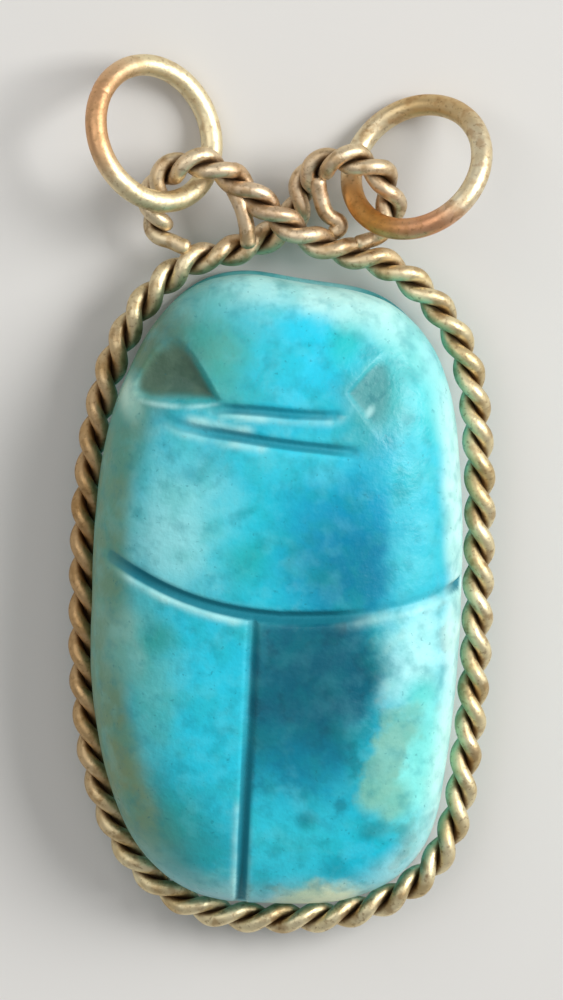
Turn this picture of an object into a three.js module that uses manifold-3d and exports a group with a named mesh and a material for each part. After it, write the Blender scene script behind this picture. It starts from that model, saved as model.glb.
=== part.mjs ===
// Scarab amulet: a carved and glazed scarab held by a frame of twisted brass wire, with a jump ring
// in each of the frame's two eyelets. Millimetres, +Z up. It lies on its flat base, head towards +Y.

import * as THREE from 'three';
import { LoftGeometry } from 'three/addons/geometries/LoftGeometry.js';
import { mergeVertices } from 'three/addons/utils/BufferGeometryUtils.js';
import Module from 'manifold-3d';

const wasm = await Module();
wasm.setup();

// The scarab's block
const stoneWidth = 27.4;
const stoneLength = 47.6;
const stoneHeight = 12.8;
const outlinePower = 2.7;      // 2 gives an ellipse, more is squarer
const domePower = 2.4;
const girdleLevel = 5.6;       // height of the widest outline
const baseBevel = 0.8;
const waistDepth = 0.8;        // hollow round the side, where the wire lies
const clypeusHollow = 1;       // the front edge dips a little, right of the middle
const tailSwell = { turn: -48, height: 1.2 };   // the outline is fuller at the right of the tail
const headSwell = { turn: 40, height: 0.3 };    // and of the head, where the wire keeps its way
const headFlat = { turn: 140, height: -0.4 };   // and flatter at the left of the head

// The scarab's carving
const grooveWidth = 0.9;
const grooveDepth = 0.6;
const seamWidth = 1.1;         // the line between prothorax and wing cases
const seamDepth = 0.75;
const leftEyeDepth = 1.3;
const rightEyeDepth = 0.45;

// The twisted wire frame
const strandDiameter = 1.15;
const twistPitch = 5.3;
const twistWaist = 0.5;        // share of the twist's thickness left between its two strands
const frameLevel = 3.5;
const sideGap = 0.6;           // between the scarab's side and the twisted wire
const endGap = 1.3;            // the same at the head and the tail
const frameAside = 0.35;       // the frame sits this much to the right
const frameBow = { turn: 40, height: 0.6 };     // and bows out beside the right of the head
const eyeletPlay = 0.55;       // room in an eyelet beyond its ring's wire
const eyeletRise = 1.6;        // the top of each eyelet is pushed up by the ring under it
const crossingGap = 0.25;      // between the two ends where they cross

// The jump rings
const ringDiameter = 12;
const ringWire = 1.6;
const leftRingOffset = 1;      // the ring's wire passes this far from the middle of its eyelet
const rightRingOffset = 0.6;
const floorGap = 0.03;

// Facets
const outlineFacets = 72;
const domeRows = 9;
const waistRows = 4;
const twistFacets = 8;         // round the section, and along one pitch
const strandFacets = 6;
const ringFacets = 36;
const ringSectionFacets = 8;

const halfWidth = stoneWidth / 2;
const halfLength = stoneLength / 2;
const domeHeight = stoneHeight - girdleLevel;
const strandRadius = strandDiameter / 2;
const twistRadius = strandDiameter;
const tightGrowth = twistRadius - waistDepth;
const eyeletRadius = twistRadius + ringWire + eyeletPlay;
const crossingRise = twistRadius + crossingGap / 2;

const radians = THREE.MathUtils.degToRad;
const smooth = THREE.MathUtils.smoothstep;
const signedPower = (value, power) => Math.sign(value) * Math.abs(value) ** power;

// A bulge of an outline: full at one turn round it, and gone about 40 degrees away
const bulgeTightness = 15;
const bulge = (angle, { turn, height }) => (
  height * Math.exp(bulgeTightness * (Math.cos(angle - radians(turn)) - 1))
);

// A closed mesh with shared corners, as the solid library takes it
function solidOf(geometry) {
  const bare = new THREE.BufferGeometry();
  bare.setAttribute('position', geometry.attributes.position);
  bare.setIndex(geometry.index);
  const merged = mergeVertices(bare, 1e-5);
  const corners = merged.index.array;
  const kept = [];
  for (let i = 0; i < corners.length; i += 3) {
    const [a, b, c] = corners.subarray(i, i + 3);
    if (a !== b && b !== c && c !== a) kept.push(a, b, c);
  }
  return new wasm.Manifold(new wasm.Mesh({
    numProp: 3,
    vertProperties: new Float32Array(merged.attributes.position.array),
    triVerts: new Uint32Array(kept),
  }));
}

function geometryOf(solid) {
  const mesh = solid.getMesh();
  const geometry = new THREE.BufferGeometry();
  geometry.setAttribute('position', new THREE.BufferAttribute(mesh.vertProperties, mesh.numProp));
  geometry.setIndex(new THREE.BufferAttribute(mesh.triVerts, 1));
  geometry.computeVertexNormals();
  return geometry;
}

// The scarab's outline seen from above, grown by an offset square to it
function outlinePoint(angle, growth) {
  const x = halfWidth * signedPower(Math.cos(angle), 2 / outlinePower);
  const y = halfLength * signedPower(Math.sin(angle), 2 / outlinePower);
  const square = new THREE.Vector2(
    signedPower(x / halfWidth, outlinePower - 1) / halfWidth,
    signedPower(y / halfLength, outlinePower - 1) / halfLength,
  ).normalize();
  return new THREE.Vector2(x, y).addScaledVector(square, growth + bulge(angle, tailSwell));
}

function stoneOutline(angle, growth) {
  const point = outlinePoint(angle, growth + bulge(angle, headSwell) + bulge(angle, headFlat));
  const aside = (point.x / halfWidth - 0.2) / 0.35;
  if (point.y > 0) point.y -= clypeusHollow * Math.exp(-aside * aside);
  return point;
}

// Height of the scarab's smooth back over a point
function backHeight(x, y) {
  const share = Math.abs(x / halfWidth) ** outlinePower + Math.abs(y / halfLength) ** outlinePower;
  return girdleLevel + domeHeight * Math.max(0, 1 - share) ** (1 / domePower);
}

function stoneSection(size, growth, z) {
  return Array.from({ length: outlineFacets }, (_, i) => {
    const point = stoneOutline(i / outlineFacets * 2 * Math.PI, growth).multiplyScalar(size);
    return new THREE.Vector3(point.x, point.y, z);
  });
}

function stoneBlock() {
  const sections = [
    stoneSection(1, -baseBevel - waistDepth / 2, 0),
    stoneSection(1, -waistDepth / 2, baseBevel),
  ];
  for (let i = 1; i <= waistRows; i++) {
    const share = i / waistRows;
    const hollow = waistDepth * (Math.sin(Math.PI * share) + (1 - share) / 2);
    sections.push(stoneSection(1, -hollow, baseBevel + share * (girdleLevel - baseBevel)));
  }
  for (let i = 1; i <= domeRows; i++) {
    const turn = i / (domeRows + 1) * Math.PI / 2;
    const size = Math.cos(turn) ** (2 / outlinePower);
    const z = girdleLevel + domeHeight * Math.sin(turn) ** (2 / domePower);
    sections.push(stoneSection(size, 0, z));
  }
  return solidOf(new LoftGeometry(sections, { capStart: true, capEnd: true }));
}

// A place on the back, given as shares of the half width and the half length
const onBack = (across, along) => new THREE.Vector2(across * halfWidth, along * halfLength);

// A V-shaped cut that follows the back along a line of places
function grooveCutter(places, width, depth) {
  const clear = 1;
  const spread = width / 2 * (1 + clear / depth);
  const sections = places.map((place, i) => {
    const before = places[Math.max(0, i - 1)];
    const after = places[Math.min(places.length - 1, i + 1)];
    const aside = after.clone().sub(before).normalize().rotateAround(new THREE.Vector2(), Math.PI / 2);
    const top = backHeight(place.x, place.y);
    return [
      new THREE.Vector3(place.x, place.y, top - depth),
      new THREE.Vector3(place.x + aside.x * spread, place.y + aside.y * spread, top + clear),
      new THREE.Vector3(place.x - aside.x * spread, place.y - aside.y * spread, top + clear),
    ];
  });
  return solidOf(new LoftGeometry(sections, { capStart: true, capEnd: true }));
}

// A smooth line through places on the back
function lineThrough(places, count) {
  return new THREE.SplineCurve(places.map((place) => onBack(...place))).getSpacedPoints(count);
}

// The seam dips towards the tail in the middle and runs out over both sides, steeper on the left
function seamLine() {
  const middle = 0.09;
  const lowest = -0.045;
  const leftBend = 0.159;
  const rightBend = 0.108;
  const count = 14;
  return Array.from({ length: count + 1 }, (_, i) => {
    const across = THREE.MathUtils.lerp(-0.9, 1.06, i / count);
    const bend = across < middle ? leftBend : rightBend;
    return onBack(across, lowest + bend * (across - middle) ** 2);
  });
}

// The flat cut for an eye: it starts at a corner by the head, between two walls, and runs out to the
// side and to the front
function eyeCutter(corner, depth, wallTurns, sideFall, frontFall) {
  const reach = stoneWidth / 2;
  const middleTurn = (wallTurns[0] + wallTurns[1]) / 2;
  const rays = [wallTurns[0], middleTurn, wallTurns[1]].map((turn) => new THREE.Vector2(
    reach * Math.cos(radians(turn)),
    reach * Math.sin(radians(turn)),
  ));
  const shape = new THREE.Shape([new THREE.Vector2(), ...rays]);
  const wedge = new THREE.ExtrudeGeometry(shape, { depth: stoneHeight, bevelEnabled: false });
  wedge.rotateY(Math.sign(corner.x) * radians(sideFall));
  wedge.rotateX(-radians(frontFall));
  wedge.translate(corner.x, corner.y, backHeight(corner.x, corner.y) - depth);
  return solidOf(wedge);
}

function scarabSolid() {
  const upperHeadLine = lineThrough([[-0.35, 0.6], [0.29, 0.588]], 6);
  const lowerHeadLine = lineThrough([[-0.58, 0.547], [-0.1, 0.503], [0.38, 0.472]], 10);
  const medianLine = lineThrough([[-0.12, -0.055], [-0.135, -0.5], [-0.15, -0.985]], 14);
  const cutters = [
    grooveCutter(upperHeadLine, grooveWidth, grooveDepth),
    grooveCutter(lowerHeadLine, grooveWidth, grooveDepth),
    grooveCutter(medianLine, grooveWidth, grooveDepth),
    grooveCutter(seamLine(), seamWidth, seamDepth),
    eyeCutter(onBack(-0.355, 0.628), leftEyeDepth, [121, 181], 19, 4),
    eyeCutter(onBack(0.35, 0.655), rightEyeDepth, [-60, 51], 9, 15),
  ];
  return cutters.reduce((stone, cutter) => stone.subtract(cutter), stoneBlock());
}

// The middles of the eyelets, and how far each one's arc runs
const rimTop = halfLength + tightGrowth + endGap;
const leftEyelet = new THREE.Vector2(-6.6, rimTop + eyeletRadius - 0.55);
const rightEyelet = new THREE.Vector2(4.4, rimTop + eyeletRadius);

function eyeletPoints(middle, fromTurn, toTurn, lowAt) {
  const count = 12;
  return Array.from({ length: count + 1 }, (_, i) => {
    const turn = radians(fromTurn + i / count * (toTurn - fromTurn));
    const rise = eyeletRise * Math.max(0, Math.sin(turn)) ** 1.5;
    const dip = crossingRise * lowAt(turn);
    return new THREE.Vector3(
      middle.x + eyeletRadius * Math.cos(turn),
      middle.y + eyeletRadius * Math.sin(turn),
      frameLevel + rise - dip,
    );
  });
}

// The wire's middle line: left eyelet, over the crossing, round the rim, under the crossing,
// right eyelet
function framePath() {
  const crossing = new THREE.Vector2(
    (leftEyelet.x + rightEyelet.x) / 2 + 1.2,
    rimTop + eyeletRadius * 0.5,
  );
  const high = frameLevel + crossingRise;
  const low = frameLevel - crossingRise;
  const points = eyeletPoints(leftEyelet, -130, -318, () => 0);
  const leave = points.at(-1);
  points.push(
    new THREE.Vector3((leave.x + crossing.x) / 2, (leave.y + crossing.y) / 2, high),
    new THREE.Vector3(crossing.x, crossing.y, high + crossingGap / 2),
    new THREE.Vector3(crossing.x + 2.4, rimTop + 0.25, (high + frameLevel) / 2 + crossingGap),
  );
  for (let turn = 68; turn >= -248; turn -= 4) {
    const angle = radians(turn);
    const gap = THREE.MathUtils.lerp(sideGap, endGap, Math.sin(angle) ** 2);
    const point = outlinePoint(angle, tightGrowth + gap + bulge(angle, frameBow));
    points.push(new THREE.Vector3(point.x + frameAside, point.y, frameLevel));
  }
  points.push(
    new THREE.Vector3(crossing.x - 1.8, rimTop + 0.1, low + crossingGap),
    new THREE.Vector3(crossing.x, crossing.y - crossingGap, low - crossingGap / 2),
  );
  points.push(...eyeletPoints(rightEyelet, 180, -46, (turn) => smooth(turn, radians(100), radians(180))));
  return new THREE.CatmullRomCurve3(points);
}

// Sections along a curve, each a ring of radii round it
function sweep(curve, steps, facets, radiusAt) {
  const up = new THREE.Vector3(0, 0, 1);
  const sections = [];
  for (let i = 0; i <= steps; i++) {
    const share = i / steps;
    const middle = curve.getPointAt(share);
    const along = curve.getTangentAt(share);
    const aside = up.clone().cross(along).normalize();
    const above = along.clone().cross(aside);
    sections.push(Array.from({ length: facets }, (_, j) => {
      const angle = j / facets * 2 * Math.PI;
      const radius = radiusAt(angle, share);
      return middle.clone()
        .addScaledVector(aside, radius * Math.cos(angle))
        .addScaledVector(above, radius * Math.sin(angle));
    }));
  }
  return new LoftGeometry(sections, { capStart: true, capEnd: true });
}

// Two strands side by side as one section, full at the strands and hollow between them. It turns
// left-handed by one facet from each section to the next.
function twistedWire() {
  const curve = framePath();
  const steps = Math.round(curve.getLength() / twistPitch * twistFacets);
  const radius = (angle, share) => {
    const lobe = Math.abs(Math.cos(angle + share * steps / twistFacets * 2 * Math.PI));
    return twistRadius * (twistWaist + (1 - twistWaist) * lobe);
  };
  return solidOf(sweep(curve, steps, twistFacets, radius));
}

function strand(points, steps) {
  const curve = new THREE.CatmullRomCurve3(points);
  return solidOf(sweep(curve, steps, strandFacets, () => strandRadius));
}

// The single wires at the ends: a tail from each eyelet onto the rim, a straight end beside the
// left eyelet, and a curl inside the right one
function wireEnds() {
  const near = (middle, places) => places.map(([turn, reach, z]) => new THREE.Vector3(
    middle.x + reach * eyeletRadius * Math.cos(radians(turn)),
    middle.y + reach * eyeletRadius * Math.sin(radians(turn)),
    frameLevel + z * strandRadius,
  ));
  return [
    strand(near(leftEyelet, [[-134, 1, 0], [-117, 1, 0.4], [-99, 0.98, 0.8]]), 4),
    strand(near(rightEyelet, [[-42, 1, 0], [-60, 1, 0.4], [-77, 0.98, 0.8]]), 4),
    strand(near(leftEyelet, [[36, 0.9, 1.4], [-8, 1.06, 1.8], [-38, 1.5, 1.3]]), 4),
    strand(near(rightEyelet, [
      [140, 0.86, 1.2],
      [170, 0.59, 0.7],
      [216, 0.52, 0.4],
      [258, 0.56, 0.2],
      [248, 0.84, 0.2],
    ]), 8),
  ];
}

function frameSolid() {
  return wireEnds().reduce((frame, end) => frame.add(end), twistedWire());
}

const glaze = new THREE.MeshStandardMaterial({ color: 0x2bb8d2, roughness: 0.35, metalness: 0 });
const brass = new THREE.MeshStandardMaterial({ color: 0xc9a46a, roughness: 0.35, metalness: 1 });
const ringBrass = new THREE.MeshStandardMaterial({ color: 0xd9b070, roughness: 0.3, metalness: 1 });

function piece(name, geometry, material) {
  const mesh = new THREE.Mesh(geometry, material);
  mesh.name = name;
  return mesh;
}

// A ring through an eyelet, leaning on it with one edge just over the floor
function jumpRing(name, eyelet, offset, awayTurn, leanTurn, lean) {
  const radius = (ringDiameter - ringWire) / 2;
  const reach = radius + offset;
  const geometry = new THREE.TorusGeometry(radius, ringWire / 2, ringSectionFacets, ringFacets);
  const ring = piece(name, geometry, ringBrass);
  ring.position.set(
    eyelet.x + reach * Math.cos(awayTurn),
    eyelet.y + reach * Math.sin(awayTurn),
    ringWire / 2 + radius * Math.sin(lean) + floorGap,
  );
  const axis = new THREE.Vector3(
    Math.sin(lean) * Math.cos(leanTurn),
    Math.sin(lean) * Math.sin(leanTurn),
    Math.cos(lean),
  );
  ring.quaternion.setFromUnitVectors(new THREE.Vector3(0, 0, 1), axis);
  return ring;
}

const amulet = new THREE.Group();
amulet.add(piece('scarab', geometryOf(scarabSolid()), glaze));
amulet.add(piece('twisted_wire_frame', geometryOf(frameSolid()), brass));
amulet.add(jumpRing('ring_left', leftEyelet, leftRingOffset, radians(122), radians(29), radians(42)));
amulet.add(jumpRing('ring_right', rightEyelet, rightRingOffset, radians(28.3), radians(127), radians(42.7)));

// The origin is under the middle of the whole amulet
const extent = new THREE.Box3().setFromObject(amulet, true);
const middle = extent.getCenter(new THREE.Vector3());
amulet.position.set(-middle.x, -middle.y, -extent.min.z);

export default amulet;
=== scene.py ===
import math

import bmesh
import bpy
import numpy as np
from mathutils import Matrix, Vector, geometry, kdtree, noise


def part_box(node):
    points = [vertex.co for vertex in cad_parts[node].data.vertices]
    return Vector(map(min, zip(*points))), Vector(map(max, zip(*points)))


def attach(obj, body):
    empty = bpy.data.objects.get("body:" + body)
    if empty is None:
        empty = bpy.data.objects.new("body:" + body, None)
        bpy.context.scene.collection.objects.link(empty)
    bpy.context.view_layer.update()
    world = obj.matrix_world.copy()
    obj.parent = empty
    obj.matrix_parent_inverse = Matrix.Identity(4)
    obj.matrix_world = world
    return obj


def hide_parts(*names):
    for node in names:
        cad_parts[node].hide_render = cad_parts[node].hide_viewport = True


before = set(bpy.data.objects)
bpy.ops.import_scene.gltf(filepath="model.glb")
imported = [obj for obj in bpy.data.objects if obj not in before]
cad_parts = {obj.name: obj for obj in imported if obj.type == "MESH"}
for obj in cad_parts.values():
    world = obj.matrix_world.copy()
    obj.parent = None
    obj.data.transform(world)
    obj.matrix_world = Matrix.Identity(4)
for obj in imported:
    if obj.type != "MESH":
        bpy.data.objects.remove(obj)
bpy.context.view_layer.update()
mm = 0.001


def linearColour(hexCode):
    # sRGB hex to the linear values that Blender's sockets take
    parts = [int(hexCode[i:i + 2], 16) / 255 for i in (1, 3, 5)]
    return [c / 12.92 if c <= 0.04045 else ((c + 0.055) / 1.055) ** 2.4 for c in parts] + [1]


def addNode(tree, kind, inputs=None, **settings):
    # adds a node, sets it up, and links or sets its inputs; a node given there means its first output
    node = tree.nodes.new(kind)
    for name, value in settings.items():
        setattr(node, name, value)
    for socket, value in (inputs or {}).items():
        if isinstance(value, bpy.types.Node):
            value = value.outputs[0]
        if isinstance(value, bpy.types.NodeSocket):
            tree.links.new(value, node.inputs[socket])
        else:
            node.inputs[socket].default_value = value
    return node


def addObject(name, data):
    thing = bpy.data.objects.new(name, data)
    bpy.context.scene.collection.objects.link(thing)
    return thing


def meshPiece(name, points, faces, material):
    mesh = bpy.data.meshes.new(name)
    mesh.from_pydata((np.asarray(points) * mm).tolist(), [], faces)
    mesh.shade_smooth()
    mesh.materials.append(material)
    return addObject(name, mesh)


def fade(values, start, end):
    # 0 before start, 1 after end, smooth between
    share = np.clip((np.asarray(values) - start) / (end - start), 0, 1)
    return share * share * (3 - 2 * share)


def smoothMin(a, b, blend):
    share = np.clip(0.5 + 0.5 * (b - a) / blend, 0, 1)
    return b + (a - b) * share - blend * share * (1 - share)


def noiseAt(points, size, seed):
    shift = Vector((seed * 17.3, seed * 5.1, seed * 9.7))
    return np.array([noise.noise(Vector(point) / size + shift) for point in points])


def rayAt(turn):
    return np.array((math.cos(math.radians(turn)), math.sin(math.radians(turn))))


# The scarab: its block and the hand that carved it
scarab = {
    "width": 27.4, "length": 47.6, "height": 12.8,
    "outlinePower": 2.7,         # 2 is an ellipse, more is squarer
    "domePower": 2.4,
    "girdle": 5.6,               # height of the widest outline
    "baseBevel": 0.8,
    "waist": 0.8,                # hollow round the side, where the wire lies
    "clypeusHollow": {"depth": 1.0, "at": 0.2, "reach": 0.35},    # dip of the front edge, in half widths
    "tailSwell": {"turn": -48, "height": 1.2},    # the outline is fuller at the right of the tail
    "headSwell": {"turn": 40, "height": 0.3},     # and of the head
    "headFlat": {"turn": 140, "height": -0.4},    # and flatter at the left of the head
    "swellTightness": 15,        # each is gone about 40 degrees away
    "pointSpacing": 0.18,
    "finePointSpacing": 0.12,    # beside the carved lines
    "rowsBeside": 6,             # rows of points on each side of a carved line
    "outlinePoints": 480,
    "sideRows": 22,
    "unevenness": 0.16,          # of the hand carving
    "unevennessSize": 7.5,
    "border": {"inset": 1.3, "width": 0.5, "depth": 0.25},    # incised line round the underside
    "brimStray": {"size": 3.6, "by": 0.03},    # how the brims' inner edges stray
    "lipWearAndSheen": {"mean": 0.8, "patches": 0.5, "patchSize": 2.2, "flecks": 0.3, "fleckSize": 0.8},
}

# Carved lines, as shares of the half width and half length. "cut" and "pool" say how deep the line is and how
# dark the glaze stands in it, at shares of its run. Lips are the pale edges, partly worn glaze and partly a
# painted highlight where an edge faces the light: their side is 1 at the left of the run and -1 at its right.
carvedLines = {
    "upperHead": {
        "places": [(-0.35, 0.6), (0.29, 0.588)], "width": 0.75, "depth": 0.5,
        "cut": ((0, 0.15, 0.9, 1), (0.3, 1, 0.9, 0.6)),
        "pool": ((0, 0.15, 0.9, 1), (0.4, 0.75, 0.6, 0.4)),
        "paleLipsAndHighlights": [{"side": -1, "from": 0, "to": 1, "strength": 0.6, "width": 0.45}],
    },
    "lowerHead": {
        "places": [
            (-0.68, 0.572), (-0.56, 0.545), (-0.4, 0.528), (-0.1, 0.503), (0.2, 0.486), (0.38, 0.472)],
        "width": 0.8, "depth": 0.55,
        "cut": ((0, 0.2, 0.4, 0.93, 1), (0.15, 0.65, 1, 1, 0.6)),
        "pool": ((0, 0.2, 0.42, 0.9, 1), (0.2, 0.5, 0.75, 0.7, 0.4)),
        "paleLipsAndHighlights": [{"side": -1, "from": 0.04, "to": 0.6, "strength": 0.55, "width": 0.45},
                 {"side": 1, "from": 0.12, "to": 0.5, "strength": 0.75, "width": 0.5}],
    },
    "median": {
        "places": [(-0.12, -0.045), (-0.135, -0.5), (-0.15, -0.995)], "width": 0.75, "depth": 0.55,
        "cut": ((0, 0.35, 0.6, 1), (0.8, 0.6, 1, 1)),
        "pool": ((0, 0.3, 0.5, 0.75, 1), (0.5, 0.35, 0.8, 1, 0.75)),
        "paleLipsAndHighlights": [{"side": -1, "from": 0.62, "to": 1, "strength": 0.7, "width": 0.35},
                 {"side": -1, "from": 0, "to": 0.6, "strength": 0.12, "width": 0.3},
                 {"side": 1, "from": 0.7, "to": 1, "strength": 0.3, "width": 0.3}],
    },
    "seam": {
        "places": [
            (across, -0.045 + (0.159 if across < 0.09 else 0.108) * (across - 0.09) ** 2)
            for across in np.linspace(-0.9, 0.995, 20)
        ],
        "width": 0.9, "depth": 0.65,
        "cut": ((0, 0.1, 0.64, 0.75, 0.95, 1), (0.35, 1, 1, 0.4, 0.4, 1)),
        "pool": ((0, 0.08, 0.5, 0.64, 0.74, 0.95, 1), (0.5, 0.95, 1, 0.9, 0.2, 0.2, 1)),
        "paleLipsAndHighlights": [{"side": -1, "from": 0.03, "to": 0.42, "strength": 0.9, "width": 0.42},
                 {"side": -1, "from": 0.66, "to": 0.98, "strength": 0.5, "width": 0.6},
                 {"side": 1, "from": 0.1, "to": 0.5, "strength": 0.2, "width": 0.3}],
    },
}

# Flat cuts for the eyes: each starts at a corner by the head and runs out between two walls. Shade is painted
# into each cut, and the pale lips along its walls are partly painted highlight.
eyeCuts = {
    "leftEye": {"corner": (-0.355, 0.628), "depth": 1.3, "walls": (121, 181),
                "sideFall": 19, "frontFall": 4, "scoop": 0.6, "wallLipsAndHighlights": (0.2, 0.75)},
    "rightEye": {"corner": (0.35, 0.655), "depth": 0.45, "walls": (-60, 51),
                 "sideFall": 9, "frontFall": 15, "scoop": 0.3, "wallLipsAndHighlights": (0.1, 0.5)},
}

# What the lines and the cuts share
chisel = {
    "bottom": 0.14,              # radius along the bottom of a line
    "edge": 0.2,                 # rounding of every edge
    "waver": 4.5, "widthWaver": 0.12, "depthWaver": 0.3,    # how the hand wavers along a line
    "meanDepth": 0.9,
    "wallRise": 2.6,             # of the eyes' walls, for each millimetre out
    "wallRun": 8,
}

# Where the glaze changes along the edge of the back, with painted light in it: the pale brim is partly a
# painted highlight on the side towards the light, the green brim partly a painted shade on the side away from
# it. Each starts at shares of the way from the middle out to the outline, and is as strong as said at turns
# round it
brims = {
    "paleBrimAndHighlight": {"starts": (0.85, 0.97), "strengths": {
        -180: 0, -140: 0, -125: 0.3, -100: 0.55, -75: 0.3, -55: 0.6, -35: 0.7, -15: 0.8, 5: 1, 24: 0.9,
        38: 0.5, 50: 0.5, 63: 0.75, 85: 0.55, 100: 0.35, 118: 0.25, 135: 0, 180: 0}},
    "greenBrimAndShade": {"starts": (0.72, 0.9), "strengths": {
        -180: 1, -150: 1, -125: 0.6, -105: 0, 110: 0, 135: 0.5, 160: 0.9, 180: 1}},
}

halfSize = np.array((scarab["width"] / 2, scarab["length"] / 2))
domeHeight = scarab["height"] - scarab["girdle"]
scarabLow, scarabHigh = (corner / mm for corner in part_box("scarab"))
scarabMiddle = np.array((
    (scarabLow.x + scarabHigh.x) / 2,
    scarabLow.y + scarab["length"] / 2,
    0,
))


def outlineShare(plan):
    # 0 in the middle of the plan, 1 on the outline
    power = scarab["outlinePower"]
    return (np.abs(plan / halfSize) ** power).sum(-1) ** (1 / power)


def outlineTurns(plan):
    # the turn round the outline that each place lies at
    share = plan / halfSize
    reach = np.sign(share) * np.abs(share) ** (scarab["outlinePower"] / 2)
    return np.arctan2(reach[:, 1], reach[:, 0])


def outlinePoints(turns, growth=0):
    power = scarab["outlinePower"]
    ray = np.column_stack((np.cos(turns), np.sin(turns)))
    points = np.sign(ray) * np.abs(ray) ** (2 / power) * halfSize
    square = np.sign(points) * np.abs(points / halfSize) ** (power - 1) / halfSize
    return points + np.reshape(growth, (-1, 1)) * square / np.linalg.norm(square, axis=1, keepdims=True)


def bulge(turns, look):
    # full at one turn round the outline, and fading on either side of it
    away = np.cos(turns - math.radians(look["turn"])) - 1
    return look["height"] * np.exp(scarab["swellTightness"] * away)


def shapeOutline(points):
    # the fuller and flatter corners, and the dip in the front edge, fading towards the middle of the back
    size = np.maximum(outlineShare(points[:, :2]), 1e-6)
    turns = outlineTurns(points[:, :2])
    aside = outlinePoints(turns, 1) - outlinePoints(turns)
    swell = sum(bulge(turns, scarab[name]) for name in ("tailSwell", "headSwell", "headFlat"))
    points[:, :2] += aside * (size * swell)[:, None]
    across = points[:, 0] / size / halfSize[0]
    hollow = scarab["clypeusHollow"]
    dip = hollow["depth"] * size ** 4 * np.exp(-((across - hollow["at"]) / hollow["reach"]) ** 2)
    points[:, 1] -= np.where(points[:, 1] > 0, dip, 0)
    return points


def rollBack(flat):
    # an evenly spread plan, drawn in so that the points stay evenly spaced down the steep rim
    spread = np.maximum(outlineShare(flat), 1e-9)
    return flat * (np.sin(np.minimum(spread, 1) * math.pi / 2) / spread)[:, None]


def unroll(plan):
    size = np.maximum(outlineShare(plan), 1e-9)
    return plan * (np.arcsin(np.minimum(size, 1)) * 2 / math.pi / size)[:, None]


def smoothBack(plan):
    # points and outward directions of the back before it is carved
    power, domePower = scarab["outlinePower"], scarab["domePower"]
    share = np.abs(plan / halfSize)
    rise = np.maximum(1 - (share ** power).sum(-1), 0) ** (1 / domePower)
    points = np.column_stack((plan, scarab["girdle"] + domeHeight * rise))
    across = np.sign(plan) * power * share ** (power - 1) / halfSize
    outwards = np.column_stack((across, domePower * rise ** (domePower - 1) / domeHeight))
    return points, outwards / np.linalg.norm(outwards, axis=1, keepdims=True)


def evenLine(places, spacing):
    # a line of places resampled at an even spacing
    places = np.asarray(places, dtype=float)
    steps = np.linalg.norm(np.diff(places, axis=0), axis=1)
    reach = np.concatenate(([0], np.cumsum(steps)))
    at = np.linspace(0, reach[-1], max(2, round(reach[-1] / spacing) + 1))
    return np.column_stack([np.interp(at, reach, column) for column in places.T])


def lineDistance(points, line):
    # each point's distance from a line, its share of the run there, and 1 or -1 for the side it lies on
    nearest = np.full(len(points), np.inf)
    along, side = np.zeros(len(points)), np.zeros(len(points))
    for i, (start, end) in enumerate(zip(line, line[1:])):
        step, away = end - start, points - start
        share = np.clip(away @ step / (step @ step), 0, 1)
        gap = np.linalg.norm(away - share[:, None] * step, axis=1)
        closer = gap < nearest
        nearest[closer] = gap[closer]
        along[closer] = (i + share[closer]) / (len(line) - 1)
        side[closer] = np.sign(step[0] * away[:, 1] - step[1] * away[:, 0])[closer]
    return nearest, along, side


def backPlan():
    # plan points of the back: the outline, rows along each carved line, and an even field between
    fine, coarse = scarab["finePointSpacing"], scarab["pointSpacing"]
    loop = outlinePoints(np.linspace(0, 2 * math.pi, 20001))
    girth = np.linalg.norm(np.diff(loop, axis=0), axis=1).sum()
    outline = evenLine(loop, girth / scarab["outlinePoints"])[:-1]
    lines = [np.array(line["places"]) * halfSize for line in carvedLines.values()]
    for cut in eyeCuts.values():
        corner = np.array(cut["corner"]) * halfSize
        lines += [np.array((corner, corner + rayAt(turn) * chisel["wallRun"])) for turn in cut["walls"]]
    shifts = range(-scarab["rowsBeside"], scarab["rowsBeside"] + 1)
    rows = []
    for line in lines:
        places = evenLine(line, fine * 1.4)
        step = np.gradient(places, axis=0)
        aside = np.column_stack((-step[:, 1], step[:, 0])) / np.linalg.norm(step, axis=1, keepdims=True)
        rows += [places + aside * fine * shift for shift in shifts]
    rows = np.concatenate(rows)
    rows = unroll(rows[outlineShare(rows) < 0.998])
    rows = rows[outlineShare(rows) < 1 - fine / halfSize[0]]
    rows = rows[np.unique(np.round(rows / (fine * 0.6)), axis=0, return_index=True)[1]]
    field = np.array([
        (x + (j % 2) * coarse / 2, y)
        for j, y in enumerate(np.arange(-halfSize[1], halfSize[1], coarse * math.sqrt(0.75)))
        for x in np.arange(-halfSize[0], halfSize[0], coarse)
    ])
    field = field[outlineShare(field) < 1 - 0.6 * coarse / halfSize[0]]
    tree = kdtree.KDTree(len(rows))
    for i, point in enumerate(rows):
        tree.insert((*point, 0), i)
    tree.balance()
    free = np.array([tree.find((*point, 0))[2] > fine * 0.9 for point in field])
    return outline, np.concatenate((rows, field[free]))


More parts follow.
